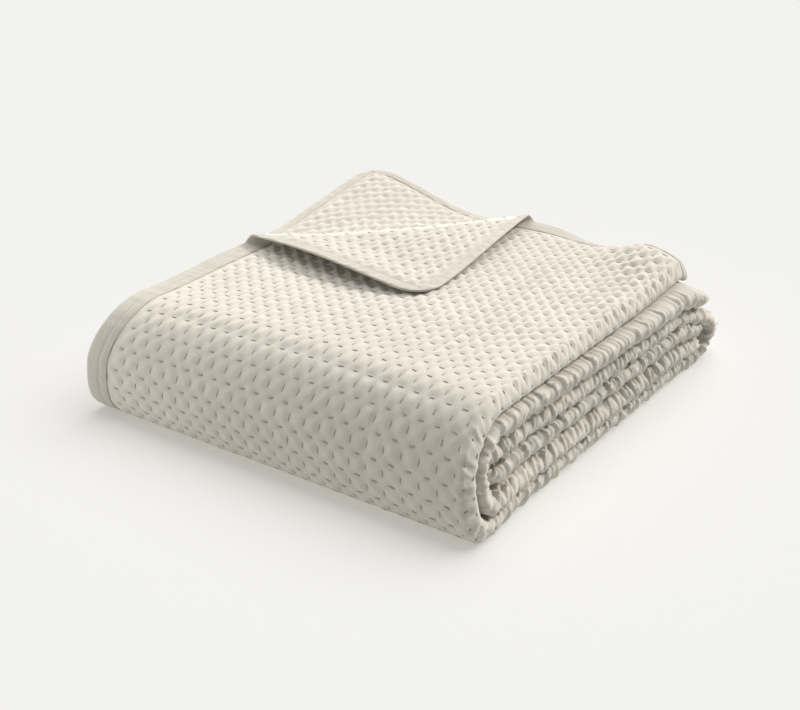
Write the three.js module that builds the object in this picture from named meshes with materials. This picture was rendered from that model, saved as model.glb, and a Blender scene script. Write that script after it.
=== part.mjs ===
// A linen bedspread, quilted with short hand stitches and bound round its edge, folded up
// as it is put away: four sheets across its width, then six times along its length, with
// one corner of the top sheet turned back. Millimetres, +Z up, the front fold lies along X.

import * as THREE from 'three';

// The quilted cloth, and the linen strip that is folded over its edge
const sheet = 2.6;
const pressedSheet = 1.0;
const stripWidth = 27.5;
const reverseStripWidth = 11.5;
const stripLinen = 0.5;
const clearance = 0.3;
const cornerRadius = 34;

// Four sheets lie over each other in one strand, and six strands make the stack
const sheetStep = 4.8;
const strandStep = 19.4;
const topSheetEdge = 5;
const secondSheetEdge = 1;
const middleFoldEdge = 9.7;
const sideFoldCentre = 429.5;

// Ends of the strands, as distances from the front of the stack
const frontCentre = 57;
const backCentre = 452;
const topEnd = 443;
const secondEnd = 462;
const endTuck = 8;
const endTuckReach = 36;

// One row for each strand, from the floor up: how far its side fold stands out (+) or
// back (-) from sideFoldCentre, near the front and near the back of the stack
const strands = [
  { name: 'bottom strand', foldAtFront: 3, foldAtBack: -1 },
  { name: 'fifth strand', foldAtFront: 4, foldAtBack: 1 },
  { name: 'fourth strand', foldAtFront: -1, foldAtBack: 2 },
  { name: 'third strand', foldAtFront: -5, foldAtBack: 1 },
  { name: 'second strand', foldAtFront: -3, foldAtBack: 8 },
  { name: 'top strand', foldAtFront: -6, foldAtBack: -14 },
];

// The way the strip runs along its length, from the end on top to the one beneath it.
// Levels count the strands from the floor, side is -1 at the front and +1 at the back.
// A fold's standsOut moves its side fold out (+) or back (-) where it turns
const lengthwise = [
  { name: 'top strand', level: 5, from: topEnd, to: frontCentre },
  { name: 'front fold, outside', side: -1, centre: frontCentre, from: 5, to: 0, steps: 8 },
  { name: 'bottom strand', level: 0, from: frontCentre, to: backCentre },
  { name: 'back fold, outside', side: 1, centre: backCentre, from: 0, to: 3, steps: 6, standsOut: 3 },
  { name: 'third strand', level: 3, from: backCentre, to: frontCentre },
  { name: 'front fold, inside', side: -1, centre: frontCentre, from: 3, to: 2, steps: 4, standsOut: -6 },
  { name: 'fourth strand', level: 2, from: frontCentre, to: backCentre },
  { name: 'back fold, inside', side: 1, centre: backCentre, from: 2, to: 1, steps: 4, standsOut: -12 },
  { name: 'fifth strand', level: 1, from: backCentre, to: frontCentre },
  { name: 'front fold, middle', side: -1, centre: frontCentre, from: 1, to: 4, steps: 6 },
  { name: 'second strand', level: 4, from: frontCentre, to: secondEnd },
];

// The way the cloth runs across the strip, from the edge on top to the edge beneath it.
// A sheet's layer is its height over the middle of the strand, in sheet steps
const crosswise = [
  { name: 'top sheet', layer: 1.5, from: topSheetEdge, to: sideFoldCentre },
  { name: 'side fold, outside', centre: sideFoldCentre, side: 1, from: 1.5, to: -1.5, steps: 5 },
  { name: 'bottom sheet', layer: -1.5, from: sideFoldCentre, to: middleFoldEdge },
  { name: 'middle fold', centre: middleFoldEdge, side: -1, from: -1.5, to: -0.5, steps: 3 },
  { name: 'third sheet', layer: -0.5, from: middleFoldEdge, to: sideFoldCentre },
  { name: 'side fold, inside', centre: sideFoldCentre, side: 1, from: -0.5, to: 0.5, steps: 3 },
  { name: 'second sheet', layer: 0.5, from: sideFoldCentre, to: secondSheetEdge },
];

// Where the sheets bend with the stack, as distances from its left and from its front
const sheetStations = [95, 180, 300];
const strandStations = [130, 220, 295, 370];

// The corner of the top sheet that is turned back over a soft roll
const turned = {
  from: new THREE.Vector2(4, 207),
  to: new THREE.Vector2(232, 443),
  bow: 40,
  rollAtLeft: 4,
  rollAtBack: 5,
  rollInMiddle: 4,
  drift: 0.085,
  stretch: 0.95,
  reach: 165,
  restHeight: 3.6,
  leftEdgeHeight: 9,
  leftEdgeReach: 75,
};

// Unevenness of the whole stack. Heights and shifts are those of its top, and fade out
// towards the surface it lies on, but for the foot's
const slump = { left: 22, right: 14, fromX: 250, toX: 440 };
const crown = { height: 6, x: 300, y: 250, width: 120, length: 400 };
const raisedCorner = { height: 28, out: 9, back: 19, acrossX: 170, fromY: 220, toY: 460 };
const swells = [
  { name: 'dip in the back edge', height: -18, x: 314, y: 470, width: 40 },
  { name: 'swell before the right back corner', height: 14, x: 385, y: 410, width: 38 },
  { name: 'drooping right back corner', height: -9, x: 445, y: 465, width: 42 },
  { name: 'drooping left shoulder', height: -6, x: 0, y: 70, width: 75 },
];
const tail = { fromX: 320, toX: 370, drop: 18, dropFrom: 408, dropTo: 464 };
const tailStretch = { back: 10, fromY: 370, toY: 440 };
const foot = { forward: 20, fadeFrom: 60, fadeTo: 260 };
const frontCorners = { left: 7, right: 12, width: 110, length: 120 };
const lowLoop = { back: 15, fromY: 440, toY: 500, z: 34, height: 26 };
const ripple = { height: 1.0, acrossX: 71, alongY: 83 };

const stackHeight = 5 * strandStep + 3 * sheetStep + sheet;
const midHeight = stackHeight / 2;
const stackDepth = backCentre + 1.5 * strandStep + 1.5 * sheetStep;
const strandHeight = (level) => 1.5 * sheetStep + sheet / 2 + level * strandStep;

const lerp = (a, b, t) => a + (b - a) * t;
const clamp01 = (t) => Math.min(1, Math.max(0, t));
const ease = (t) => {
  const c = clamp01(t);
  return c * c * (3 - 2 * c);
};
const share = (at, from, to) => ease((at - from) / (to - from));
const bell = (d) => Math.exp(-d * d);

// Gives every run of a table its length and the place where it starts
function measured(table, unit) {
  let start = 0;
  return table.map((run) => {
    const isFold = run.side !== undefined;
    const radius = isFold ? (Math.abs(run.to - run.from) * unit) / 2 : 0;
    const length = isFold ? Math.PI * radius : Math.abs(run.to - run.from);
    const placed = { ...run, isFold, radius, length, start };
    start += length;
    return placed;
  });
}

const acrossRuns = measured(crosswise, sheetStep);
const alongRuns = measured(lengthwise, strandStep);
const totalOf = (runs) => runs[runs.length - 1].start + runs[runs.length - 1].length;
const flatWidth = totalOf(acrossRuns);
const flatLength = totalOf(alongRuns);

const runAt = (runs, at) => runs.find((run) => at < run.start + run.length) ?? runs[runs.length - 1];

// Place across the strip: x from the left, and the height over the strand's middle
function across(u) {
  const run = runAt(acrossRuns, u);
  const d = u - run.start;
  if (!run.isFold) {
    return { run, x: run.from + Math.sign(run.to - run.from) * d, layer: run.layer * sheetStep };
  }
  const angle = d / run.radius;
  const middle = ((run.from + run.to) / 2) * sheetStep;
  const down = Math.sign(run.from - run.to);
  return {
    run,
    x: run.centre + run.side * run.radius * Math.sin(angle),
    layer: middle + down * run.radius * Math.cos(angle),
  };
}

// Place along the strip: the strand's middle, the way to its top sheet, and its side fold,
// which tucks in towards the two ends
function along(s) {
  const run = runAt(alongRuns, s);
  const d = s - run.start;
  const tuckHere = endTuck * clamp01(1 - Math.min(s, flatLength - s) / endTuckReach) ** 2;
  const foldAt = (level, y) => {
    const strand = strands[level];
    return lerp(strand.foldAtFront, strand.foldAtBack, clamp01(y / stackDepth));
  };
  if (!run.isFold) {
    const way = Math.sign(run.to - run.from);
    const y = run.from + way * d;
    const fold = foldAt(run.level, y) - tuckHere;
    return { run, y, z: strandHeight(run.level), ny: 0, nz: -way, fold };
  }
  const angle = d / run.radius;
  const down = Math.sign(run.from - run.to);
  const middle = (strandHeight(run.from) + strandHeight(run.to)) / 2;
  const y = run.centre + run.side * run.radius * Math.sin(angle);
  return {
    run,
    y,
    z: middle + down * run.radius * Math.cos(angle),
    ny: -down * Math.sin(angle),
    nz: -run.side * Math.cos(angle),
    fold: lerp(foldAt(run.from, y), foldAt(run.to, y), angle / Math.PI)
      + (run.standsOut ?? 0) * Math.sin(angle),
  };
}

// Turns the corner back: past the fold line the sheet rolls over and lies on itself
const foldWay = turned.to.clone().sub(turned.from);
const foldLength = foldWay.length();
foldWay.normalize();
const cornerWay = new THREE.Vector2(-foldWay.y, foldWay.x);

function pastFoldLine(x, y) {
  const from = new THREE.Vector2(x, y).sub(turned.from);
  const a = from.dot(foldWay);
  const swell = Math.sin(Math.PI * clamp01(a / foldLength));
  return { a, swell, past: from.dot(cornerWay) + turned.bow * swell };
}

function turnCorner(x, y, z) {
  const { a, swell, past } = pastFoldLine(x, y);
  if (past <= 0) {
    return [x, y, z];
  }
  const roll = lerp(turned.rollAtLeft, turned.rollAtBack, clamp01(a / foldLength))
    + turned.rollInMiddle * swell;
  let inPlane = roll * Math.sin(past / roll);
  let height = roll * (1 - Math.cos(past / roll));
  const beyond = Math.max(0, past - Math.PI * roll) * turned.stretch;
  if (beyond > 0) {
    inPlane = -beyond;
    height = lerp(2 * roll, turned.restHeight, ease(beyond / turned.reach));
  }
  const pastRoot = clamp01((y - turned.from.y) / (topEnd - turned.from.y));
  const atLeftEdge = (1 - share(x, 0, turned.leftEdgeReach)) * Math.sin(Math.PI * pastRoot);
  height += turned.leftEdgeHeight * atLeftEdge * share(past, 0, Math.PI * roll);
  const place = turned.from.clone();
  place.addScaledVector(foldWay, a - turned.drift * beyond);
  place.addScaledVector(cornerWay, inPlane - turned.bow * swell);
  return [place.x, place.y, z + height];
}

// Soft unevenness that moves all layers of the stack together, and leaves its foot flat
function settle(x, y, z) {
  const up = Math.max(0, z - sheet) / (stackHeight - sheet);
  const overMiddle = clamp01((z - midHeight) / midHeight);
  const underMiddle = clamp01((midHeight - z) / midHeight);
  const slumpHere = lerp(slump.left, slump.right, share(x, slump.fromX, slump.toX)) * overMiddle ** 1.5;
  const footHere = foot.forward * underMiddle ** 1.5 * (1 - share(y, foot.fadeFrom, foot.fadeTo));
  const loopShare = share(y, lowLoop.fromY, lowLoop.toY) * bell((z - lowLoop.z) / lowLoop.height);
  const raised = share(-x, -raisedCorner.acrossX, 0) * share(y, raisedCorner.fromY, raisedCorner.toY);
  const atFront = 1 - share(y, 0, frontCorners.length);
  const atLeft = frontCorners.left * share(-x, -frontCorners.width, 0);
  const atRight = frontCorners.right * share(x, sideFoldCentre - frontCorners.width, sideFoldCentre);
  const crownHere = crown.height * bell((x - crown.x) / crown.width) * bell((y - crown.y) / crown.length);
  const atTail = share(x, tail.fromX, tail.toX);
  const dropHere = tail.drop * atTail * share(y, tail.dropFrom, tail.dropTo);
  const backHere = tailStretch.back * atTail * share(y, tailStretch.fromY, tailStretch.toY);
  const rippleHere = ripple.height * Math.sin(x / ripple.acrossX + 1) * Math.cos(y / ripple.alongY);
  const lift = swells.reduce(
    (sum, swell) => sum + swell.height * bell(Math.hypot(x - swell.x, y - swell.y) / swell.width),
    crownHere + rippleHere - dropHere + raisedCorner.height * raised,
  );
  return new THREE.Vector3(
    x - raisedCorner.out * raised * up + (atRight - atLeft) * atFront * (1 - up),
    y + slumpHere - footHere + lowLoop.back * loopShare + (raisedCorner.back * raised + backHere) * up,
    z + lift * up,
  );
}

// Middle surface of the folded cloth at a place u across and s along the flat cloth
function middleOfCloth(u, s) {
  const c = across(u);
  const l = along(s);
  const x = c.x + (l.fold * c.x) / sideFoldCentre;
  const y = l.y + l.ny * c.layer;
  const z = l.z + l.nz * c.layer;
  const isTopSheet = l.run === alongRuns[0] && c.run === acrossRuns[0];
  return settle(...(isTopSheet ? turnCorner(x, y, z) : [x, y, z]));
}

const probe = 0.2;
function onCloth(u, s, offset) {
  const toU = middleOfCloth(u + probe, s).sub(middleOfCloth(u - probe, s));
  const toS = middleOfCloth(u, s + probe).sub(middleOfCloth(u, s - probe));
  const normal = toS.cross(toU).normalize();
  return middleOfCloth(u, s).addScaledVector(normal, offset);
}

// Rounds the four corners of the flat cloth, and steps out past its edge by `out`
function roundedPlace(u, s, out) {
  const nearU = Math.min(u, flatWidth - u);
  const nearS = Math.min(s, flatLength - s);
  const inward = Math.min(nearU, nearS);
  const onward = Math.max(nearU, nearS);
  let fromSide = nearU;
  let fromEnd = nearS;
  if (onward >= cornerRadius) {
    fromSide -= nearU < nearS ? out : 0;
    fromEnd -= nearU < nearS ? 0 : out;
  } else {
    const radius = cornerRadius - inward + out;
    const part = (onward - inward) / (cornerRadius - inward);
    const turn = (Math.PI / 4) * (nearU < nearS ? 1 - part : 1 + part);
    fromSide = cornerRadius - radius * Math.cos(turn);
    fromEnd = cornerRadius - radius * Math.sin(turn);
  }
  return [
    u < flatWidth / 2 ? fromSide : flatWidth - fromSide,
    s < flatLength / 2 ? fromEnd : flatLength - fromEnd,
  ];
}

// Stations of the mesh. Rows run across the cloth, one for each station along it, and are
// closer where the roll of the turned corner runs out to the edge
const border = [0, stripWidth, cornerRadius];
const turnedRows = 5;
const rollEndRows = 7;
const rollEndLength = 60;
const flatRows = 3;

function evenly(from, to, steps) {
  return Array.from({ length: steps }, (_, i) => lerp(from, to, (i + 1) / steps));
}

function rowStations() {
  const stations = [...border];
  const [top, ...others] = alongRuns;
  const lineFoot = topEnd - turned.from.y;
  const lineInside = lineFoot - rollEndLength;
  stations.push(...evenly(cornerRadius, lineInside, turnedRows));
  stations.push(...evenly(lineInside, lineFoot, rollEndRows));
  stations.push(...evenly(lineFoot, top.length, flatRows));
  others.forEach((run, index) => {
    if (run.isFold) {
      stations.push(...evenly(run.start, run.start + run.length, run.steps));
      return;
    }
    const isLast = index === others.length - 1;
    const places = run.from < run.to ? [...strandStations] : [...strandStations].reverse();
    places.push(isLast ? run.to - cornerRadius : run.to);
    stations.push(...places.map((y) => run.start + Math.abs(y - run.from)));
  });
  stations.push(...border.slice(0, -1).reverse().map((d) => flatLength - d));
  return stations;
}

// Where the fold line of the turned corner crosses a row of the top sheet, by halving
const halvings = 40;
function foldCrossing(y) {
  let low = topSheetEdge;
  let high = sideFoldCentre;
  for (let i = 0; i < halvings; i += 1) {
    const middle = (low + high) / 2;
    if (pastFoldLine(middle, y).past > 0) {
      low = middle;
    } else {
      high = middle;
    }
  }
  return low;
}

// The top sheet has closer columns on its turned corner and on the roll beside it
const turnedSteps = 3;
const rollSteps = 5;
const rollSpan = 28;
const leastStep = 2;
const flatShares = [0.2, 0.45, 0.72];
const rowSlack = 1;

function columnStations(s) {
  const stations = [...border];
  acrossRuns.forEach((run, index) => {
    if (run.isFold) {
      stations.push(...evenly(run.start, run.start + run.length, run.steps));
      return;
    }
    const way = Math.sign(run.to - run.from);
    const isLast = index === acrossRuns.length - 1;
    let places = way > 0 ? [...sheetStations, run.to] : [...sheetStations].reverse().concat(run.to);
    if (index === 0 && s < alongRuns[0].length - rowSlack) {
      const crossing = foldCrossing(topEnd - s);
      const cornerEnd = topSheetEdge + cornerRadius;
      const rollFrom = Math.max(cornerEnd + turnedSteps * leastStep, crossing - rollSpan);
      const rollTo = Math.max(rollFrom + rollSteps * leastStep, crossing);
      places = evenly(cornerEnd, rollFrom, turnedSteps);
      places.push(...evenly(rollFrom, rollTo, rollSteps));
      places.push(...flatShares.map((share) => lerp(rollTo, run.to, share)), run.to);
    }
    places.forEach((x) => stations.push(run.start + Math.abs(x - run.from)));
    if (isLast) {
      stations.pop();
      stations.push(...[...border].reverse().map((d) => flatWidth - d));
    }
  });
  return stations;
}

const rows = rowStations().map((s) => ({ s, columns: columnStations(s) }));
const lastRow = rows.length - 1;

// Collects corner points by name, and triangles between them
class Faces {
  constructor() {
    this.points = [];
    this.numbers = new Map();
    this.triangles = [];
  }

  point(key, place) {
    if (!this.numbers.has(key)) {
      this.numbers.set(key, this.points.length);
      this.points.push(place());
    }
    return this.numbers.get(key);
  }

  triangle(a, b, c, flip) {
    this.triangles.push(...(flip ? [a, c, b] : [a, b, c]));
  }

  quad(a, b, c, d, flip) {
    this.triangle(a, b, c, flip);
    this.triangle(a, c, d, flip);
  }

  geometry() {
    const positions = new Float32Array(this.points.flatMap((p) => p.toArray()));
    const geometry = new THREE.BufferGeometry();
    geometry.setAttribute('position', new THREE.BufferAttribute(positions, 3));
    geometry.setIndex(this.triangles);
    geometry.computeVertexNormals();
    return geometry;
  }
}

const slack = 0.1;

// The strip is turned in narrower on the reverse than on the right side
function onReverse(at, total) {
  const isStripEnd = Math.abs(Math.min(at, total - at) - stripWidth) < slack;
  const turnedIn = at < total / 2 ? reverseStripWidth : total - reverseStripWidth;
  return isStripEnd ? turnedIn : at;
}

// A corner point of the mesh: column i of row j, at an offset from the cloth's middle
function meshPoint(faces, layer, i, j) {
  const { s, columns } = rows[j];
  const isEdge = i === 0 || i === columns.length - 1 || j === 0 || j === lastRow;
  const key = `${layer.offset} ${i} ${j}`;
  return faces.point(key, () => {
    const isReverse = layer.offset < 0;
    const onWidth = isReverse ? onReverse(columns[i], flatWidth) : columns[i];
    const onLength = isReverse ? onReverse(s, flatLength) : s;
    const [u, v] = roundedPlace(onWidth, onLength, isEdge ? layer.out : 0);
    return onCloth(u, v, layer.offset);
  });
}

// The strip covers the places up to its own width from a side or an end
const nearSide = (u) => Math.min(u, flatWidth - u) < stripWidth + slack;
const nearEnd = (s) => Math.min(s, flatLength - s) < stripWidth + slack;
const isPressed = (i, j) => nearSide(rows[j].columns[i]) || nearEnd(rows[j].s);

// Faces of one layer, row by row. Where two rows have unlike columns, they are zipped
// together. Only the cells that `wanted` picks by their place on the flat cloth are made
function faceLayer(faces, layer, flip, wanted) {
  const at = (i, j) => meshPoint(faces, layer(i, j), i, j);
  for (let j = 0; j < lastRow; j += 1) {
    const near = rows[j].columns;
    const far = rows[j + 1].columns;
    const atStart = j < border.length - 1;
    const atEnd = j > lastRow - border.length;
    if (near.length === far.length) {
      for (let i = 0; i + 1 < near.length; i += 1) {
        if (wanted(near[i], near[i + 1], j)) {
          const corners = [at(i, j), at(i + 1, j), at(i + 1, j + 1), at(i, j + 1)];
          const onLeft = i < near.length / 2;
          if ((atStart && !onLeft) || (atEnd && onLeft)) {
            corners.push(corners.shift());
          }
          faces.quad(...corners, flip);
        }
      }
    } else {
      zipRows(faces, at, j, flip, wanted);
    }
  }
}

function zipRows(faces, at, j, flip, wanted) {
  const near = rows[j].columns;
  const far = rows[j + 1].columns;
  let i = 0;
  let k = 0;
  while (i + 1 < near.length || k + 1 < far.length) {
    const nearNext = near[i + 1] ?? Infinity;
    const farNext = far[k + 1] ?? Infinity;
    if (nearNext <= farNext + slack) {
      if (wanted(near[i], nearNext, j)) {
        faces.triangle(at(i, j), at(i + 1, j), at(k, j + 1), flip);
      }
      i += 1;
    } else {
      if (wanted(far[k], farNext, j)) {
        faces.triangle(at(i, j), at(k + 1, j + 1), at(k, j + 1), flip);
      }
      k += 1;
    }
  }
}

// Corner points of the mesh right round the cloth, `inset` columns and rows in from its edge
function loopRound(inset) {
  const lastOf = (j) => rows[j].columns.length - 1 - inset;
  const from = inset;
  const to = lastRow - inset;
  const loop = [];
  for (let j = from; j < to; j += 1) {
    loop.push([inset, j]);
  }
  for (let i = inset; i < lastOf(to); i += 1) {
    loop.push([i, to]);
  }
  for (let j = to; j > from; j -= 1) {
    loop.push([lastOf(j), j]);
  }
  for (let i = lastOf(from); i > inset; i -= 1) {
    loop.push([i, from]);
  }
  return loop;
}

function faceLoop(faces, inset, upper, lower, flip) {
  const loop = loopRound(inset);
  loop.forEach(([i, j], index) => {
    const [nextI, nextJ] = loop[(index + 1) % loop.length];
    const top = [meshPoint(faces, upper(i, j), i, j), meshPoint(faces, upper(nextI, nextJ), nextI, nextJ)];
    const foot = [meshPoint(faces, lower(i, j), i, j), meshPoint(faces, lower(nextI, nextJ), nextI, nextJ)];
    faces.quad(top[0], top[1], foot[1], foot[0], flip);
  });
}

// The cloth is one sheet from edge to edge, pressed thinner where the binding holds it
function quiltedCloth() {
  const faces = new Faces();
  const face = (sign) => (i, j) => {
    const thickness = isPressed(i, j) ? pressedSheet : sheet;
    return { offset: (sign * thickness) / 2, out: 0 };
  };
  const all = () => true;
  faceLayer(faces, face(1), true, all);
  faceLayer(faces, face(-1), false, all);
  faceLoop(faces, 0, face(1), face(-1), true);
  return faces.geometry();
}

// The binding is one long strip, folded over the edge of the cloth on both faces
function edgeBinding() {
  const faces = new Faces();
  const inner = pressedSheet / 2 + clearance;
  const outer = inner + stripLinen;
  const leaf = (offset, out) => () => ({ offset, out });
  const outside = [leaf(outer, clearance + stripLinen), leaf(-outer, clearance + stripLinen)];
  const inside = [leaf(inner, clearance), leaf(-inner, clearance)];
  const inStrip = (uFrom, uTo, j) => (nearSide(uFrom) && nearSide(uTo))
    || (nearEnd(rows[j].s) && nearEnd(rows[j + 1].s));
  faceLayer(faces, outside[0], true, inStrip);
  faceLayer(faces, inside[0], false, inStrip);
  faceLayer(faces, inside[1], true, inStrip);
  faceLayer(faces, outside[1], false, inStrip);
  faceLoop(faces, 0, outside[0], outside[1], true);
  faceLoop(faces, 0, inside[0], inside[1], false);
  faceLoop(faces, 1, outside[0], inside[0], false);
  faceLoop(faces, 1, inside[1], outside[1], false);
  return faces.geometry();
}

const linen = new THREE.MeshStandardMaterial({ color: 0xd9d3c6, roughness: 0.92, metalness: 0 });
const plainLinen = new THREE.MeshStandardMaterial({ color: 0xcfc9bb, roughness: 0.9, metalness: 0 });

const pieces = [
  { name: 'quilted_cloth', geometry: quiltedCloth(), material: linen },
  { name: 'edge_binding', geometry: edgeBinding(), material: plainLinen },
];

// The origin is under the middle of the folded bedspread, on the surface it lies on
const bedspread = new THREE.Group();
pieces.forEach(({ name, geometry, material }) => {
  const piece = new THREE.Mesh(geometry, material);
  piece.name = name;
  bedspread.add(piece);
});
const box = new THREE.Box3().setFromObject(bedspread);
const middle = box.getCenter(new THREE.Vector3());
bedspread.position.set(-middle.x, -middle.y, -box.min.z);

export default bedspread;
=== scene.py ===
# A linen bedspread, hand quilted, bound round its edge and folded into a stack, with one
# corner of the top sheet turned back. Lengths are millimetres until a mesh is made.
import math

import bpy
import numpy as np
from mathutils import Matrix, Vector


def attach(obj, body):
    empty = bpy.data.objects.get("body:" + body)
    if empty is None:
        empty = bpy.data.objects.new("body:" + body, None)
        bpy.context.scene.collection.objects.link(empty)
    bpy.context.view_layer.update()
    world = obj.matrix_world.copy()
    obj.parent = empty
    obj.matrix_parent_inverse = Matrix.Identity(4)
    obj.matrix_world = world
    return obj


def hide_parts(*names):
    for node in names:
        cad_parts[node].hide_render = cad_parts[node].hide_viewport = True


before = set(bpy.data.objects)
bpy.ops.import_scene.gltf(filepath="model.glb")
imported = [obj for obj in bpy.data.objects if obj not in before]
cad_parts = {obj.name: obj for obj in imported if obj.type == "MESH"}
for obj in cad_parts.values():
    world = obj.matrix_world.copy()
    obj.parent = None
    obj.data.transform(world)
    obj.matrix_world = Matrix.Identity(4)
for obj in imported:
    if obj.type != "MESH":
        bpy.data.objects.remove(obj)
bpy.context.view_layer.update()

# The quilted cloth: two faces of washed linen with a thin wadding between them, held by
# short hand stitches in two square grids, one set between the other. It is folded across
# its width into four sheets, and then along its length into six strands.
thickness = 2.6
strip_width = 27.5
reverse_strip_width = 11.5
corner_radius = 34.0
sheet_step = 4.8
strand_step = 19.4

# Where the folds and the loose ends lie, from the front and the left of the straight stack
side_fold_centre = 429.5
left_fold_centre = 9.7
front_centre = 57.0
back_centre = 452.0
top_end = 443.0
second_end = 462.0
top_sheet_edge = 5.0
second_sheet_edge = 1.0
# The settled stack's middle, which lies over the frame's origin
stack_middle = (220.246, 254.111)

# How far each strand's side fold stands out, near the front and near the back
strand_folds = np.array([(3, -1), (4, 1), (-1, 2), (-5, 1), (-3, 8), (-6, -14)], float)
# How far the outer side fold sags: its upper half stands back and its lower half out
fold_sag = 2.2
# How far the strip's two ends tuck in at the side fold, and over what length
end_tuck = 8.0
end_tuck_reach = 36.0

# Runs along the length: straight ones have a level, from and to; folds have a side, a
# centre, the levels they join, and how far their side fold stands out or back
lengthwise = [
    dict(level=5, start_at=top_end, end_at=front_centre),
    dict(side=-1, centre=front_centre, levels=(5, 0)),
    dict(level=0, start_at=front_centre, end_at=back_centre),
    dict(side=1, centre=back_centre, levels=(0, 3), stands_out=3.0),
    dict(level=3, start_at=back_centre, end_at=front_centre),
    dict(side=-1, centre=front_centre, levels=(3, 2), stands_out=-6.0),
    dict(level=2, start_at=front_centre, end_at=back_centre),
    dict(side=1, centre=back_centre, levels=(2, 1), stands_out=-12.0),
    dict(level=1, start_at=back_centre, end_at=front_centre),
    dict(side=-1, centre=front_centre, levels=(1, 4)),
    dict(level=4, start_at=front_centre, end_at=second_end),
]
# Runs across the width, from the edge on top to the edge beneath it
crosswise = [
    dict(level=1.5, start_at=top_sheet_edge, end_at=side_fold_centre),
    dict(side=1, centre=side_fold_centre, levels=(1.5, -1.5)),
    dict(level=-1.5, start_at=side_fold_centre, end_at=left_fold_centre),
    dict(side=-1, centre=left_fold_centre, levels=(-1.5, -0.5)),
    dict(level=-0.5, start_at=left_fold_centre, end_at=side_fold_centre),
    dict(side=1, centre=side_fold_centre, levels=(-0.5, 0.5)),
    dict(level=0.5, start_at=side_fold_centre, end_at=second_sheet_edge),
]


def measured(runs, step):
    """Gives each run its radius, length and start, and returns the length of them all."""
    start = 0.0
    for run in runs:
        if "side" in run:
            run["radius"] = abs(run["levels"][1] - run["levels"][0]) * step / 2
            run["length"] = math.pi * run["radius"]
        else:
            run["length"] = abs(run["end_at"] - run["start_at"])
        run["start"] = start
        start += run["length"]
    return start


flat_width = measured(crosswise, sheet_step)
flat_length = measured(lengthwise, strand_step)
top_length = lengthwise[0]["length"]
front_end = lengthwise[2]["start"]
side_fold, left_fold, inner_fold, last_sheet = (crosswise[k] for k in (1, 3, 5, 6))
side_fold_start, side_fold_end = side_fold["start"], crosswise[2]["start"]
left_fold_end = crosswise[4]["start"]

stack_height = 5 * strand_step + 3 * sheet_step + thickness
mid_height = stack_height / 2
stack_depth = back_centre + 1.5 * strand_step + 1.5 * sheet_step


def run_numbers(runs, at):
    """Number of the run in which each place lies."""
    starts = [run["start"] for run in runs]
    return np.clip(np.searchsorted(starts, at, side="right") - 1, 0, len(runs) - 1)


def fade(t):
    """Eases from 0 to 1."""
    t = np.clip(t, 0, 1)
    return t * t * (3 - 2 * t)


def share(at, start, end):
    """Eases from 0 at the start to 1 at the end."""
    return fade((at - start) / (end - start))


def bell(d):
    """1 at 0, and near 0 from 2 on, both ways."""
    return np.exp(-d * d)


def across(u):
    """Place across the strip: x from the left, and height over the strand's middle."""
    number = run_numbers(crosswise, u)
    x, layer = np.zeros_like(u), np.zeros_like(u)
    for k, run in enumerate(crosswise):
        here = number == k
        d = u[here] - run["start"]
        if "side" in run:
            high, low = run["levels"]
            angle = d / run["radius"]
            sag = fold_sag * np.sin(2 * angle) if run is side_fold else 0.0
            x[here] = run["centre"] + run["side"] * (run["radius"] * np.sin(angle) - sag)
            layer[here] = (
                (high + low) / 2 * sheet_step
                + math.copysign(run["radius"], high - low) * np.cos(angle)
            )
        else:
            x[here] = run["start_at"] + math.copysign(1, run["end_at"] - run["start_at"]) * d
            layer[here] = run["level"] * sheet_step
    return x, layer, number


def strand_height(level):
    """Height of a strand's middle over the floor."""
    return 1.5 * sheet_step + thickness / 2 + level * strand_step


def along(s):
    """Place along the strip: the strand's middle, the way to its top sheet, its side fold."""
    number = run_numbers(lengthwise, s)
    y, z, ny, nz, fold = (np.zeros_like(s) for _ in range(5))

    def fold_at(level, at):
        front, back = strand_folds[level]
        return front + (back - front) * np.clip(at / stack_depth, 0, 1)

    for k, run in enumerate(lengthwise):
        here = number == k
        d = s[here] - run["start"]
        if "side" in run:
            first, last = run["levels"]
            down = math.copysign(1, first - last)
            angle = d / run["radius"]
            y[here] = run["centre"] + run["side"] * run["radius"] * np.sin(angle)
            middle = (strand_height(first) + strand_height(last)) / 2
            z[here] = middle + down * run["radius"] * np.cos(angle)
            ny[here] = -down * np.sin(angle)
            nz[here] = -run["side"] * np.cos(angle)
            near, far = fold_at(first, y[here]), fold_at(last, y[here])
            stands_out = run.get("stands_out", 0.0) * np.sin(angle)
            fold[here] = near + (far - near) * angle / math.pi + stands_out
        else:
            way = math.copysign(1, run["end_at"] - run["start_at"])
            y[here] = run["start_at"] + way * d
            z[here] = strand_height(run["level"])
            nz[here] = -way
            fold[here] = fold_at(run["level"], y[here])
    from_end = np.minimum(s, flat_length - s)
    fold = fold - end_tuck * np.clip(1 - from_end / end_tuck_reach, 0, 1) ** 2
    return y, z, ny, nz, fold, number


# The corner turned back. Its fold line bows out and rolls over on a soft radius. The part
# beyond it drifts and draws in a little, comes to rest, and its left edge stands up.
turned_from = np.array([4.0, 207.0])
turned_to = np.array([232.0, 443.0])
turned = dict(
    bow=40.0, roll_left=4.0, roll_back=5.0, roll_middle=4.0,
    drift=0.085, drawn_to=0.95, reach=165.0, rest=3.6, left_edge=9.0, left_share=75.0,
)
fold_line = turned_to - turned_from
fold_line_length = np.linalg.norm(fold_line)
fold_way = fold_line / fold_line_length
corner_way = np.array([-fold_way[1], fold_way[0]])


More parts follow.
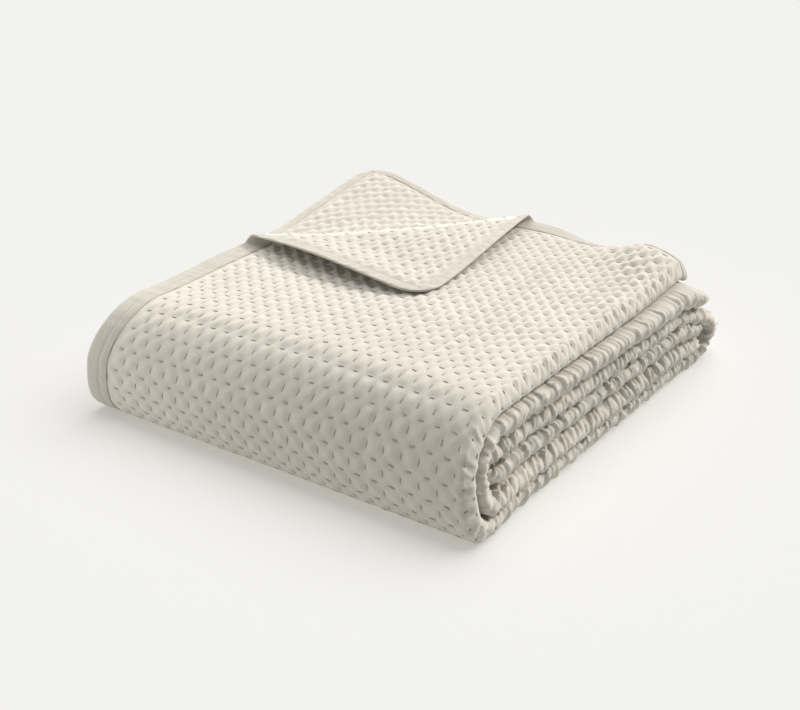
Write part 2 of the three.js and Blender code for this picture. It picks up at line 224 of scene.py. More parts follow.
def past_fold_line(x, y):
    """Place along the corner's fold line, how far it bows there, and how far past it."""
    rx, ry = x - turned_from[0], y - turned_from[1]
    a = rx * fold_way[0] + ry * fold_way[1]
    swell = np.sin(np.pi * np.clip(a / fold_line_length, 0, 1))
    return a, swell, rx * corner_way[0] + ry * corner_way[1] + turned["bow"] * swell


def turn_corner(x, y, z):
    """Rolls the top sheet's corner over at its fold line and lays it down."""
    a, swell, past = past_fold_line(x, y)
    on_line = np.clip(a / fold_line_length, 0, 1)
    roll = turned["roll_left"] + (turned["roll_back"] - turned["roll_left"]) * on_line
    roll = roll + turned["roll_middle"] * swell
    beyond = np.maximum(0, past - np.pi * roll) * turned["drawn_to"]
    in_plane = np.where(beyond > 0, -beyond, roll * np.sin(past / roll))
    rest = 2 * roll + (turned["rest"] - 2 * roll) * fade(beyond / turned["reach"])
    height = np.where(beyond > 0, rest, roll * (1 - np.cos(past / roll)))
    past_root = np.clip((y - turned_from[1]) / (top_end - turned_from[1]), 0, 1)
    at_left = 1 - share(x, 0, turned["left_share"])
    raised_edge = turned["left_edge"] * at_left * np.sin(np.pi * past_root)
    height = height + raised_edge * share(past, 0, np.pi * roll)
    along_line = a - turned["drift"] * beyond
    off_line = in_plane - turned["bow"] * swell
    is_turned = past > 0
    new_x = turned_from[0] + fold_way[0] * along_line + corner_way[0] * off_line
    new_y = turned_from[1] + fold_way[1] * along_line + corner_way[1] * off_line
    return (
        np.where(is_turned, new_x, x),
        np.where(is_turned, new_y, y),
        np.where(is_turned, z + height, z),
    )


def turned_crest(u, s, quarter, reach):
    """1 on the turned corner's roll at an angle round it, and 0 away from there."""
    _, swell, past = past_fold_line(u + top_sheet_edge, top_end - s)
    roll = (turned["roll_left"] + turned["roll_back"]) / 2 + turned["roll_middle"] * swell
    return bell((past - quarter * roll) / reach) * (swell > 0)


# How the stack departs from straight, and the spans over which each of these comes in
top_slump, slump_lost_at_right, right_span = 22, 8, (250, 440)
foot_spread, foot_span = 20, (60, 260)
loop_bulge, loop_span, loop_height, loop_reach = 15, (440, 500), 34, 26
corner_lift, corner_back, corner_left = 28, 19, 9
corner_span_x, corner_span_y = (-170, 0), (220, 460)
splay_right, splay_left, splay_reach, front_span = 12, 7, 110, (0, 120)
tail_span = (320, 370)
tail_drop, tail_drop_span = 18, (408, 464)
tail_back, tail_back_span = 10, (370, 440)
crown_lift, crown_at, crown_reach = 6, (300, 250), (120, 400)
wave_lengths = (71, 83)
# Low and high places on the top: rows of height, x, y and width
swells = [(-18, 314, 470, 40), (14, 385, 410, 38), (-9, 445, 465, 42), (-6, 0, 70, 75)]


def settle(x, y, z):
    """Lets the straight stack slump, spread and lift as it does where it lies."""
    up = np.maximum(0, z - thickness) / (stack_height - thickness)
    over = np.clip((z - mid_height) / mid_height, 0, 1)
    under = np.clip((mid_height - z) / mid_height, 0, 1)
    slump = (top_slump - slump_lost_at_right * share(x, *right_span)) * over**1.5
    foot = foot_spread * under**1.5 * (1 - share(y, *foot_span))
    low_loop = loop_bulge * share(y, *loop_span) * bell((z - loop_height) / loop_reach)
    raised = share(-x, *corner_span_x) * share(y, *corner_span_y)
    at_front = 1 - share(y, *front_span)
    sideways = (
        splay_right * share(x, side_fold_centre - splay_reach, side_fold_centre)
        - splay_left * share(-x, -splay_reach, 0)
    )
    crown_x = bell((x - crown_at[0]) / crown_reach[0])
    crown_y = bell((y - crown_at[1]) / crown_reach[1])
    waves = np.sin(x / wave_lengths[0] + 1) * np.cos(y / wave_lengths[1])
    lift = crown_lift * crown_x * crown_y + waves
    for height, at_x, at_y, width in swells:
        lift = lift + height * bell(np.hypot(x - at_x, y - at_y) / width)
    at_tail = share(x, *tail_span)
    lift = lift + corner_lift * raised - tail_drop * at_tail * share(y, *tail_drop_span)
    back = corner_back * raised + tail_back * at_tail * share(y, *tail_back_span)
    return np.stack(
        [
            x - corner_left * raised * up + sideways * at_front * (1 - up) - stack_middle[0],
            y + slump - foot + low_loop + back * up - stack_middle[1],
            z + lift * up,
        ],
        -1,
    )


# The side fold is pressed to a crisp shoulder where it goes round the front
pressed_from = (top_length - 20, top_length + 25)
pressed_to = (front_end - 25, front_end + 10)
shoulder_push = 1.1


def middle_of_cloth(u, s):
    """Middle of the folded cloth at a place u across and s along the flat cloth."""
    cross_x, layer, sheet_number = across(u)
    strand_y, strand_z, ny, nz, fold, strand_number = along(s)
    x = cross_x + fold * cross_x / side_fold_centre
    y = strand_y + ny * layer
    z = strand_z + nz * layer
    pressed = share(s, *pressed_from) * (1 - share(s, *pressed_to))
    angle = np.clip((u - side_fold_start) / side_fold["radius"], 0, math.pi / 2)
    shoulder = np.where(sheet_number == 1, np.sin(angle) ** 0.5 - np.sin(angle), 0.0)
    x = x + shoulder_push * side_fold["radius"] * pressed * shoulder
    top = (sheet_number == 0) & (strand_number == 0)
    tx, ty, tz = turn_corner(x, y, z)
    return settle(np.where(top, tx, x), np.where(top, ty, y), np.where(top, tz, z))


def rounded_place(u, s, out=0.0):
    """Rounds the four corners of the flat cloth, and steps out past its edge."""
    near_u, near_s = np.minimum(u, flat_width - u), np.minimum(s, flat_length - s)
    inward, onward = np.minimum(near_u, near_s), np.maximum(near_u, near_s)
    in_corner = onward < corner_radius
    radius = corner_radius - inward + out
    part = (onward - inward) / np.maximum(corner_radius - inward, 1e-6)
    at_side = near_u < near_s
    turn = math.pi / 4 * np.where(at_side, 1 - part, 1 + part)
    straight_side = near_u - np.where(at_side, out, 0)
    straight_end = near_s - np.where(at_side, 0, out)
    side = np.where(in_corner, corner_radius - radius * np.cos(turn), straight_side)
    end = np.where(in_corner, corner_radius - radius * np.sin(turn), straight_end)
    return (
        np.where(u < flat_width / 2, side, flat_width - side),
        np.where(s < flat_length / 2, end, flat_length - end),
    )


def from_edge(u, s):
    """Distance to the nearest edge of the flat cloth."""
    return np.minimum(np.minimum(u, flat_width - u), np.minimum(s, flat_length - s))


def on_cloth(u, s, offset):
    """Points at an offset from the middle of the cloth, + on its right side."""
    probe = 0.2
    to_u = middle_of_cloth(u + probe, s) - middle_of_cloth(u - probe, s)
    to_s = middle_of_cloth(u, s + probe) - middle_of_cloth(u, s - probe)
    normal = np.cross(to_s, to_u)
    normal /= np.linalg.norm(normal, axis=-1, keepdims=True)
    return middle_of_cloth(u, s) + normal * np.asarray(offset)[..., None]


# The stitches, and the puffs that the washed linen makes between them. A small patch of
# cloth, wider than the room it has, is pinned at its stitches and let go until it settles.
stitch_pitch = 17.0
stitch_length = 6.0
first_stitch_u = 4.35
first_stitch_s = 1.0
patch_cells = 4
patch_size = patch_cells * stitch_pitch


def puckered_patch(spare_u, spare_s, stiffness, seed, rounds):
    """Height of a patch with some spare cloth each way, on a square grid of places."""
    step, loft, drag, time_step, wadding = 1.0, 0.002, 0.95, 0.25, 0.2
    n = int(patch_size / step)
    places = np.arange(n) * step
    gu, gs = np.meshgrid(places, places, indexing="ij")
    chance = np.random.default_rng(seed)
    moved = np.zeros((n, n, 3))
    moved[..., 2] = wadding * chance.random((n, n))
    pinned = np.zeros((n, n), bool)
    half_size = patch_size / 2
    for i in range(patch_cells):
        for j in range(patch_cells):
            for half, flat_dash in ((0.0, True), (0.5, False)):
                du = (gu - (i + half) * stitch_pitch + half_size) % patch_size - half_size
                ds = (gs - (j + half) * stitch_pitch + half_size) % patch_size - half_size
                on, off = (du, ds) if flat_dash else (ds, du)
                pinned |= (abs(on) <= stitch_length / 2) & (abs(off) <= 0.5 * step)
    moved[pinned] = 0
    uneven = 1 + 0.5 * chance.standard_normal((patch_cells * 2, patch_cells * 2))
    tile = np.ones((n // patch_cells // 2 + 1,) * 2)
    uneven = np.kron(np.clip(uneven, 0.2, 2.0), tile)[:n, :n]
    rest_u, rest_s = step * (1 + spare_u * uneven), step * (1 + spare_s * uneven)
    rest_d = np.hypot(rest_u, rest_s)
    threads = [
        ((1, 0), rest_u, 1.0), ((0, 1), rest_s, 1.0),
        ((1, 1), rest_d, 0.5), ((1, -1), rest_d, 0.5),
    ]
    speed = np.zeros_like(moved)
    for _ in range(rounds):
        force = np.zeros_like(moved)
        for way, rest, pull in threads:
            across_gap = np.array([way[0] * step, way[1] * step, 0])
            gap = np.roll(moved, (-way[0], -way[1]), (0, 1)) - moved + across_gap
            length = np.sqrt((gap**2).sum(-1, keepdims=True))
            tug = pull * (length - rest[..., None]) / length * gap
            force += tug - np.roll(tug, way, (0, 1))
        for axis in (0, 1):
            bent = np.roll(moved, 1, axis) + np.roll(moved, -1, axis) - 2 * moved
            force -= stiffness * (np.roll(bent, 1, axis) + np.roll(bent, -1, axis) - 2 * bent)
        force[..., 2] += loft
        speed = (speed + time_step * force) * drag
        speed[pinned] = 0
        moved = moved + time_step * speed
        below = moved[..., 2] < -wadding
        moved[..., 2][below] = -wadding
        speed[..., 2][below] = 0
    return moved[..., 2]


def sampled(patch, u, s):
    """Height of a patch at a place on the flat cloth, the patch repeated all over."""
    n = patch.shape[0]
    a = ((u - first_stitch_u) % patch_size) / patch_size * n
    b = ((s - first_stitch_s) % patch_size) / patch_size * n
    i, j = np.floor(a).astype(int), np.floor(b).astype(int)
    fa, fb = a - i, b - j
    i, j, i1, j1 = i % n, j % n, (i + 1) % n, (j + 1) % n
    near = patch[i, j] * (1 - fb) + patch[i, j1] * fb
    far = patch[i1, j] * (1 - fb) + patch[i1, j1] * fb
    return near * (1 - fa) + far * fa


soft_puffs = puckered_patch(spare_u=0.05, spare_s=0.05, stiffness=0.05, seed=5, rounds=1600)
other_puffs = puckered_patch(spare_u=0.06, spare_s=0.06, stiffness=0.02, seed=21, rounds=2500)
crushed_puffs = puckered_patch(spare_u=0.05, spare_s=0.20, stiffness=0.03, seed=9, rounds=2000)
rng = np.random.default_rng(12)
table_size = 96
turn_u, turn_s = 17.3, 41.7
wander = rng.standard_normal((table_size, table_size))


def wandering(u, s, reach, turn=0):
    """Slow unevenness from -1 to 1, from a table of random heights. Each turn reads
    another part of the table."""
    wrap = table_size - 1
    a, b = (u / reach + turn_u * turn) % wrap, (s / reach + turn_s * turn) % wrap
    i, j = np.floor(a).astype(int), np.floor(b).astype(int)
    i1, j1 = (i + 1) % table_size, (j + 1) % table_size
    fa, fb = fade(a - i), fade(b - j)
    near = wander[i, j] * (1 - fb) + wander[i, j1] * fb
    far = wander[i1, j] * (1 - fb) + wander[i1, j1] * fb
    return np.tanh(near * (1 - fa) + far * fa)


# Creases pressed in by the way it was folded before: rows of place across, place along,
# length each way, depth, and how wide they are
pressed_creases = [
    (336.0, 300.0, 0.0, 260.0, 0.5, 3.0),
    (230.0, 408.0, 190.0, 0.0, 0.45, 3.2),
    (70.0, 352.0, 60.0, 0.0, 0.3, 3.0),
]


def creases(u, s):
    """Soft troughs, each with a low ridge beside it."""
    height = np.zeros_like(u)
    for at_u, at_s, reach_u, reach_s, depth, width in pressed_creases:
        runs_along = reach_s > 0
        off, on = (u - at_u, s - at_s) if runs_along else (s - at_s, u - at_u)
        off = off + 1.6 * wandering(u, s, 47, 9)
        reach = max(reach_u, reach_s)
        fading = 1 - share(abs(on), 0.7 * reach, reach)
        ridge, trough = 0.6 * bell((off - 1.8 * width) / width), bell(off / width)
        height = height + depth * fading * (ridge - trough)
    return height


ridge_wander, ridge_wander_reach = 0.09, 10


def ridge_net(u, s):
    """Thin ridges that run slantwise between the stitches, from 0 at a stitch to 1."""
    a, b = (u - first_stitch_u) / stitch_pitch, (s - first_stitch_s) / stitch_pitch
    one = 1 - abs(np.cos(np.pi * (a + b + ridge_wander * wandering(u, s, ridge_wander_reach, 5))))
    other = 1 - abs(np.cos(np.pi * (a - b + ridge_wander * wandering(u, s, ridge_wander_reach, 6))))
    weight = 0.3 * wandering(u, s, 21, 7)
    return np.maximum((0.8 + weight) * one, (0.8 - weight) * other)


def to_line(b, at):
    """Distance to the nearest of the lines that repeat once in each square of the grid."""
    return ((b - at + 0.5) % 1.0 - 0.5) * stitch_pitch


# The sharp folds round a side fold, as rows of how far they run along it on their way
# round, where they start, their height and width, how steady that height is, and the turn
# of the table that makes them uneven
fold_lines = [
    (0.30, 0.72, 3.0, 1.2, 0.8, 10),
    (0.45, 0.22, 2.5, 1.1, 0.8, 12),
    (-1.30, 0.95, 2.2, 1.1, 0.35, 14),
]
hollow_depth = 2.2
dimple_depth = 0.9


def side_crumples(u, s):
    """Thin ridges that cross each other where the cloth is drawn in along a side fold."""
    round_fold = (u - side_fold_start) / (side_fold_end - side_fold_start)
    below_top = share(s, front_end - 20, front_end)
    b = (s - first_stitch_s) / stitch_pitch + 0.08 * wandering(u, s, 7, 8)
    b = b + 0.35 * wandering(0 * u, s, 29, 4) * (round_fold - 0.5)
    ridges = np.zeros_like(u)
    for on_way, at, height, width, steady, turn in fold_lines:
        off = to_line(b - on_way * round_fold, at + 0.08 * wandering(0 * u, s, 12, turn))
        strength = np.clip(steady + (1.4 - steady) * wandering(u, s, 11, turn + 3), 0, 1.3)
        ridges = np.maximum(ridges, height * strength * bell(off / width))
    # They die down where one strand meets the next
    from_middle = abs(round_fold - 0.5)
    tucked_between = share(from_middle, 0.36, 0.5) * below_top
    tucked_under = share(round_fold, 0.66, 0.90) * (1 - below_top)
    tucked = np.maximum(tucked_between, tucked_under)
    ridges = ridges * (1 - 0.6 * tucked) - 0.5 * tucked
    # Hollows lie beside the first ridge, and a stitch pulls a dimple low on the fold
    first_way, first_at = fold_lines[0][:2]
    beside_ridge = 1 - bell(to_line(b - first_way * round_fold, first_at) / 3.6)
    hollow = bell((from_middle - 0.32) / 0.16) * beside_ridge * below_top
    dimple = bell((round_fold - 0.59) / 0.12) * bell(to_line(b, 0.5) / 1.5)
    uneven = 0.75 + 0.5 * wandering(u, s, 14, 15)
    return ridges - hollow_depth * hollow * uneven - dimple_depth * dimple


# Shares of puffs and ridges on the open cloth and where it is crushed at the side fold,
# and the loft that is lost where the cloth is drawn tight, over the crest and on top
open_ridge_share, open_puff_share = 0.95, 0.6
crushed_ridge_share, crushed_puff_share = 0.35, 0.25
lost_where_tight, lost_on_crest, less_crushed_on_top = 0.48, 0.92, 0.45


def puff_height(u, s, on_reverse=False):
    """How far the cloth's face stands over its stitches at a place on the flat cloth."""
    # Round the front it is drawn tight, and along the side fold it is crushed
    tight = share(s, top_length - 105, top_length + 5)
    tight = tight * (1 - share(s, front_end - 10, front_end + 30))
    on_top = 1 - share(s, front_end - 20, front_end)
    crushed_from = side_fold_start - 15 + 6 * on_top
    at_side = share(u, crushed_from, crushed_from + 14)
    at_side = at_side * (1 - share(u, side_fold_end + 2, side_fold_end + 12))
    loose = (1 - lost_where_tight * tight * (1 - at_side)) * (1 + 0.2 * wandering(u, s, 41))
    blend = 0.5 + 0.5 * wandering(u, s, 23, 3)
    soft = sampled(soft_puffs, u, s) * (1 - blend) + sampled(other_puffs, u, s) * blend
    ridges = ridge_net(u, s)
    soft = open_puff_share * soft + open_ridge_share * ridges
    crushed = crushed_puff_share * sampled(crushed_puffs, u, s) + crushed_ridge_share * ridges
    crushed = crushed + side_crumples(u, s)
    crushed = crushed * (1 - 0.5 * tight)
    side_part = 1 - less_crushed_on_top * on_top
    height = soft * loose * (1 - at_side * side_part) + crushed * at_side * side_part
    height = height + 0.2 * wandering(u, s, 7.5, 1) * (1 - 0.5 * tight)
    if on_reverse:
        height = height * (1 - lost_on_crest * turned_crest(u, s, 2.4, 10))
    else:
        height = height + creases(u, s)
    strip = reverse_strip_width if on_reverse else strip_width
    return height * share(from_edge(u, s), strip - 2, strip + 9)


# How far each face lies from the middle of the cloth: in the binding, at its stitches,
# and how much further where it lies hidden, without puffs
offset_in_binding = 0.5
offset_at_stitches = 0.85
hidden_puff = 0.45


def face_offset(u, s, shows, on_reverse):
    """How far a face of the quilt lies from the middle of the cloth."""
    strip = reverse_strip_width if on_reverse else strip_width
    out_of_binding = share(from_edge(u, s), strip - 1, strip + 3)
    body = offset_in_binding + (offset_at_stitches - offset_in_binding) * out_of_binding
    return body + np.where(shows, puff_height(u, s, on_reverse), hidden_puff)


class Faces:
    """Collects the points and the faces of one mesh."""

    def __init__(self):
        self.places = []
        self.faces = []
        self.count = 0

    def row(self, u, s, side):
        """Adds a row of points and returns their numbers."""
        self.places.append(np.stack([u, s, np.full_like(u, side)], -1))
        self.count += len(u)
        return np.arange(self.count - len(u), self.count)

    def join(self, near, near_at, far, far_at, flip):
        """Joins two rows of points by the places where they lie along the row."""
        if len(near) == len(far) and np.allclose(near_at, far_at):
            for a, b, c, d in zip(near[:-1], near[1:], far[1:], far[:-1]):
                self.faces.append((a, d, c, b) if flip else (a, b, c, d))
            return
        i = k = 0
        while i + 1 < len(near) or k + 1 < len(far):
            near_next = near_at[i + 1] if i + 1 < len(near) else math.inf
            far_next = far_at[k + 1] if k + 1 < len(far) else math.inf
            if near_next <= far_next:
                three = (near[i], near[i + 1], far[k])
                i += 1
            else:
                three = (near[i], far[k + 1], far[k])
                k += 1
            self.faces.append(three[::-1] if flip else three)

    def grid(self, rows, side, flip):
        """Joins rows of (s, stations across). Returns each row's point numbers."""
        numbers = [self.row(columns, np.full_like(columns, s), side) for s, columns in rows]
        for k in range(len(rows) - 1):
            self.join(numbers[k], rows[k][1], numbers[k + 1], rows[k + 1][1], flip)
        return numbers


def spaced(marks, end):
    """Stations from (place, step) marks: each step holds to the next mark, or to the end."""
    stops = [place for place, _ in marks[1:]] + [end]
    stations = [marks[0][0]]
    for (start, step), stop in zip(marks, stops):
        count = max(1, round((stop - start) / step))
        stations += [start + (stop - start) * (k + 1) / count for k in range(count)]
    return np.array(stations)


def in_step(first, start, end, parts=8):
    """Close stations that keep step with the stitches, so that ridges fall on them."""
    step = stitch_pitch / parts
    steps = np.arange(math.ceil((start - first) / step + 0.4), (end - first) / step - 0.4)
    return np.concatenate([[start], first + step * steps, [end]])


# Steps between stations where the cloth lies hidden, rounds a corner or goes round a fold
hidden_step, corner_step, fold_step = 30.0, 4.0, 2.5

# The parts of the flat cloth that show: the top with the front, the side fold, the back
# loop, the right end of the second strand's tail, and the reverse on and under the corner
cloth_inset = 2.0
right_edge = flat_width - cloth_inset
far_end = flat_length - cloth_inset
front_shows = front_end + 12
band_start, band_end = side_fold_start - 13, side_fold_end + 9
back_loop = lengthwise[3]["start"] - 20, lengthwise[4]["start"] + 10
tail_start = flat_length - 60
tail_shows = side_fold_start - 100
bared = 250.0

# Stations along the hidden strands, closer round a fold
row_steps = {True: 4.0, False: 24.0}
strand_marks = [(run["start"], row_steps["side" in run]) for run in lengthwise[2:]]
hidden_rows = spaced([*strand_marks, (tail_start, 2.8)], far_end)[1:]


def face_linen(faces):
    """The right side in three bands: top sheet, side fold, and the sheets beneath. It is
    wide where it lies hidden: under the turned corner and between the strands."""
    top_edge = band_start - 2
    close = in_step(first_stitch_u, cloth_inset, top_edge)
    looser = in_step(first_stitch_u, cloth_inset, top_edge, 6)
    wide = spaced([(cloth_inset, corner_step), (corner_radius, hidden_step)], top_edge)
    tail = np.concatenate([wide[wide < tail_shows - 6], looser[looser >= tail_shows]])
    under_corner = 34

    def top_columns(s):
        if s <= front_shows:
            past = past_fold_line(close + top_sheet_edge, top_end - s)[2]
            turned_part = close[past > under_corner]
            if len(turned_part) < 20:
                return close
            last = turned_part[-1]
            return np.concatenate([wide[wide < last - 3], close[close >= last]])
        if s > tail_start:
            return tail
        return looser if back_loop[0] < s < back_loop[1] else wide

    top_rows = np.concatenate([in_step(first_stitch_s, cloth_inset, front_end), hidden_rows])
    fold_rows = in_step(first_stitch_s, cloth_inset, far_end, 13)
    fold_columns = in_step(first_stitch_u, band_start, band_end)
    kept = (fold_columns > side_fold_start - 3) & (fold_columns < side_fold_end - 2)
    between = np.concatenate([[band_start], fold_columns[kept], [band_end]])
    rest_rows = spaced([(cloth_inset, corner_step), (corner_radius, 14.0)], front_end)
    rest_rows = np.concatenate([rest_rows, hidden_rows])
    rest_marks = [
        (band_end + 3, hidden_step), (left_fold["start"] - 12, 3.0),
        (left_fold_end + 12, hidden_step), (inner_fold["start"], fold_step),
        (last_sheet["start"], hidden_step), (flat_width - corner_radius, corner_step),
    ]
    rest = spaced(rest_marks, right_edge)
    top = [(s, top_columns(s)) for s in top_rows]
    fold = [(s, fold_columns if s <= front_shows else between) for s in fold_rows]
    bands = [
        (top_rows, faces.grid(top, 1, True)),
        (fold_rows, faces.grid(fold, 1, True)),
        (rest_rows, faces.grid([(s, rest) for s in rest_rows], 1, True)),
    ]
    for (near_s, near), (far_s, far) in zip(bands[:-1], bands[1:]):
        near_side, far_side = [row[-1] for row in near], [row[0] for row in far]
        faces.join(near_side, near_s, far_side, far_s, False)


def backing_linen(faces):
    """The reverse: close on the turned corner and on the sheet that it bares."""
    rows = np.concatenate([
        in_step(first_stitch_s, cloth_inset, bared),
        spaced([(bared, 16.0), (top_length, 4.0)], front_end)[1:],
        hidden_rows,
    ])
    folds = [
        (side_fold_start, fold_step), (side_fold_end, hidden_step),
        (left_fold["start"], fold_step), (left_fold_end, hidden_step),
        (inner_fold["start"], fold_step), (last_sheet["start"], hidden_step),
    ]
    shown = np.concatenate([
        in_step(first_stitch_u, cloth_inset, bared),
        spaced([(bared, hidden_step), *folds], flat_width - bared)[1:-1],
        in_step(first_stitch_u, flat_width - bared, right_edge),
    ])
    near_corner = [(cloth_inset, corner_step), (corner_radius, hidden_step)]
    far_corner = [(flat_width - corner_radius, corner_step)]
    hidden = spaced([*near_corner, *folds, *far_corner], right_edge)
    faces.grid([(s, shown if s <= bared else hidden) for s in rows], -1, False)


def placed(name, data):
    """Adds an object to the scene."""
    made = bpy.data.objects.new(name, data)
    bpy.context.scene.collection.objects.link(made)
    return made


def mesh_piece(name, points, faces, flat_places=None):
    """Makes a smooth mesh from points in millimetres, with the flat cloth as its UV map."""
    points = np.maximum(points, (-np.inf, -np.inf, 0.0))
    mesh = bpy.data.meshes.new(name)
    faces = [tuple(int(i) for i in face) for face in faces]
    mesh.from_pydata((points / 1000).tolist(), [], faces)
    mesh.polygons.foreach_set("use_smooth", [True] * len(mesh.polygons))
    if flat_places is not None:
        corners = np.zeros(len(mesh.loops), int)
        mesh.loops.foreach_get("vertex_index", corners)
        layer = mesh.uv_layers.new(name="flat_cloth")
        flat_metres = (flat_places[corners] / 1000).astype(np.float32)
        layer.data.foreach_set("uv", flat_metres.ravel())
    mesh.validate()
    return placed(name, mesh)


def add_paleness(piece, values):
    """Tells the linen's look how pale each point is; on the quilt this is painted shade and
    highlight.
    """
    shade_and_paleness = piece.data.attributes.new("paleness_and_painted_light", "FLOAT", "POINT")
    shade_and_paleness.data.foreach_set("value", values.astype(np.float32))


# How pale the linen is painted: shade in its dimples, highlights on its ridges and on the crest
least_pale, most_pale, crest_highlight = 0.15, 0.75, 1.4
ridge_offset = 3.6


def linen_sheet(name, lay_out, shows, on_reverse):
    """One face of the quilt: its grid is laid out flat, puffed, and folded up."""
    faces = Faces()
    lay_out(faces)
    places = np.concatenate(faces.places)
    u, s = rounded_place(places[:, 0], places[:, 1])
    offset = face_offset(u, s, shows(u, s), on_reverse)
    points = on_cloth(u, s, offset * places[:, 2])
    piece = mesh_piece(name, points, faces.faces, np.stack([u, s], -1))
    # Painted shade and highlight: darker where the face sits low over its stitches, paler on the
    # puffs
    shade_and_paleness = np.clip(offset / ridge_offset, least_pale, most_pale)
    # A painted highlight along the turned corner's crest, where the roll would catch the light
    if on_reverse:
        shade_and_paleness = shade_and_paleness + (crest_highlight - shade_and_paleness) * (turned_crest(u, s, 2.8, 6) * (u < bared))
    add_paleness(piece, shade_and_paleness)
    return piece


def face_shows(u, s):
    """Whether the right side shows, and so has its puffs."""
    at_back = (s > back_loop[0]) & (s < back_loop[1])
    at_tail = (s > tail_start) & (u > tail_shows)
    return (s < front_shows) | ((u < band_end) & ((u > band_start) | at_back | at_tail))


def reverse_shows(u, s):
    """Whether the reverse shows: on the turned corner and on the sheet that it bares."""
    return (s < bared) & ((u < bared) | (u > flat_width - bared))


linen_face = linen_sheet("linen_face", face_linen, face_shows, False)
linen_backing = linen_sheet("linen_backing", backing_linen, reverse_shows, True)


def material(name, roughness, sheen):
    """A new cloth-like material, with its node tree and its shader."""
    made = bpy.data.materials.new(name)
    made.use_nodes = True
    shader = made.node_tree.nodes["Principled BSDF"]
    shader.inputs["Roughness"].default_value = roughness
    shader.inputs["Sheen Weight"].default_value = sheen
    shader.inputs["Sheen Roughness"].default_value = 0.5
    shader.inputs["Specular IOR Level"].default_value = 0.2
    return made, made.node_tree, shader


def node(tree, kind, inputs=(), **settings):
    """Adds a node, sets it, and links or fills its inputs."""
    made = tree.nodes.new(kind)
    for key, value in settings.items():
        setattr(made, key, value)
    for key, value in dict(inputs).items():
        if isinstance(value, bpy.types.NodeSocket):
            tree.links.new(value, made.inputs[key])
        else:
            made.inputs[key].default_value = value
    return made


# How finely the threads, their slubs and the patches of tone repeat, to the metre
thread_scale, slub_scale, patch_scale = 2600.0, 90.0, 24.0
weave_height = 0.0004
darker, lighter = 0.90, 1.07


def linen_look(name, colour, weave_depth, paleness_range):
    """Washed linen: slubs both ways, a fine weave, soft patches of tone, and painted shade and
    highlights from the paleness attribute.
    """
    made, tree, shader = material(name, roughness=0.92, sheen=0.25)
    coordinates = node(tree, "ShaderNodeUVMap", uv_map="flat_cloth").outputs["UV"]
    slubs = []
    for scale in ((slub_scale, thread_scale, 1.0), (thread_scale, slub_scale, 1.0)):
        stretched = node(
            tree, "ShaderNodeVectorMath", {0: coordinates, 1: scale}, operation="MULTIPLY",
        )
        slub = node(tree, "ShaderNodeTexNoise", {
            "Vector": stretched.outputs[0], "Scale": 1.0, "Detail": 2.0, "Roughness": 0.6,
        })
        slubs.append(slub.outputs["Fac"])
    woven = node(tree, "ShaderNodeMath", {0: slubs[0], 1: slubs[1]}, operation="ADD")
    woven = woven.outputs[0]
    patches = node(tree, "ShaderNodeTexNoise", {
        "Vector": coordinates, "Scale": patch_scale, "Detail": 3.0,
    })
    tone = node(
        tree, "ShaderNodeMath", {0: woven, 1: patches.outputs["Fac"]}, operation="ADD",
    )
    ramp = node(tree, "ShaderNodeMapRange", {
        "Value": tone.outputs[0], "From Min": 1.0, "From Max": 2.0, "To Min": 0.0, "To Max": 1.0,
    })
    dark = tuple(darker * c for c in colour) + (1.0,)
    light = tuple(min(1.0, lighter * c) for c in colour) + (1.0,)
    mix = node(
        tree, "ShaderNodeMix", {0: ramp.outputs["Result"], 6: dark, 7: light}, data_type="RGBA",
    )
    # The paleness attribute paints shade in the dimples and highlights on the ridges and crest
    shade_and_paleness = node(tree, "ShaderNodeAttribute", attribute_name="paleness_and_painted_light").outputs["Fac"]
    paler = node(tree, "ShaderNodeMapRange", {
        "Value": shade_and_paleness, "From Min": least_pale, "From Max": most_pale,
        "To Min": 1 - paleness_range, "To Max": 1.0 + 0.4 * paleness_range,
    }, clamp=False)
    tint = node(
        tree, "ShaderNodeVectorMath",
        {0: mix.outputs[2], "Scale": paler.outputs["Result"]}, operation="SCALE",
    )
    tree.links.new(tint.outputs[0], shader.inputs["Base Color"])
    bump = node(tree, "ShaderNodeBump", {
        "Height": woven, "Strength": weave_depth, "Distance": weave_height,
    })
    tree.links.new(bump.outputs["Normal"], shader.inputs["Normal"])
    return made


washed_linen = linen_look("washed_linen", colour=(0.64, 0.60, 0.525), weave_depth=0.6, paleness_range=0.14)
for piece in (linen_face, linen_backing):
    piece.data.materials.append(washed_linen)
    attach(piece, "root")
    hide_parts("quilted_cloth")

# The edge binding: one long strip of plain linen, folded over the edge of the cloth and
# sewn down by machine along its inner border. It is narrower on the reverse, puckers a
# little across, and has a soft pressed crease near its middle.
strip_out = 0.8
# Across the strip: distance in from the cloth's edge, and height over the cloth's middle.
# It has its seam at the inner border and a pressed crease in the middle.
profile = [
    (strip_width, 0.6), (strip_width - 0.5, 1.25), (strip_width - 2.5, 1.05),
    (strip_width - 4, 1.35), (20.0, 1.45), (18.0, 1.4), (17.0, 0.95), (16.0, 1.4),
    (13.0, 1.45), (6.0, 1.4), (2.0, 1.35), (0.4, 1.0), (0.0, 0.0),
]
narrowing = reverse_strip_width / strip_width
profile += [(d * narrowing, -h) for d, h in profile[-2::-1]]
inner_profile = [(14.0, -0.6), (8.0, -0.6), (1.5, -0.4), (1.5, 0.4), (8.0, 0.6), (24.0, 0.6)]
inner_height = 0.65
seam_heights = (1.0, 1.3)
seam_pucker, reverse_pucker = 0.35, 1.7

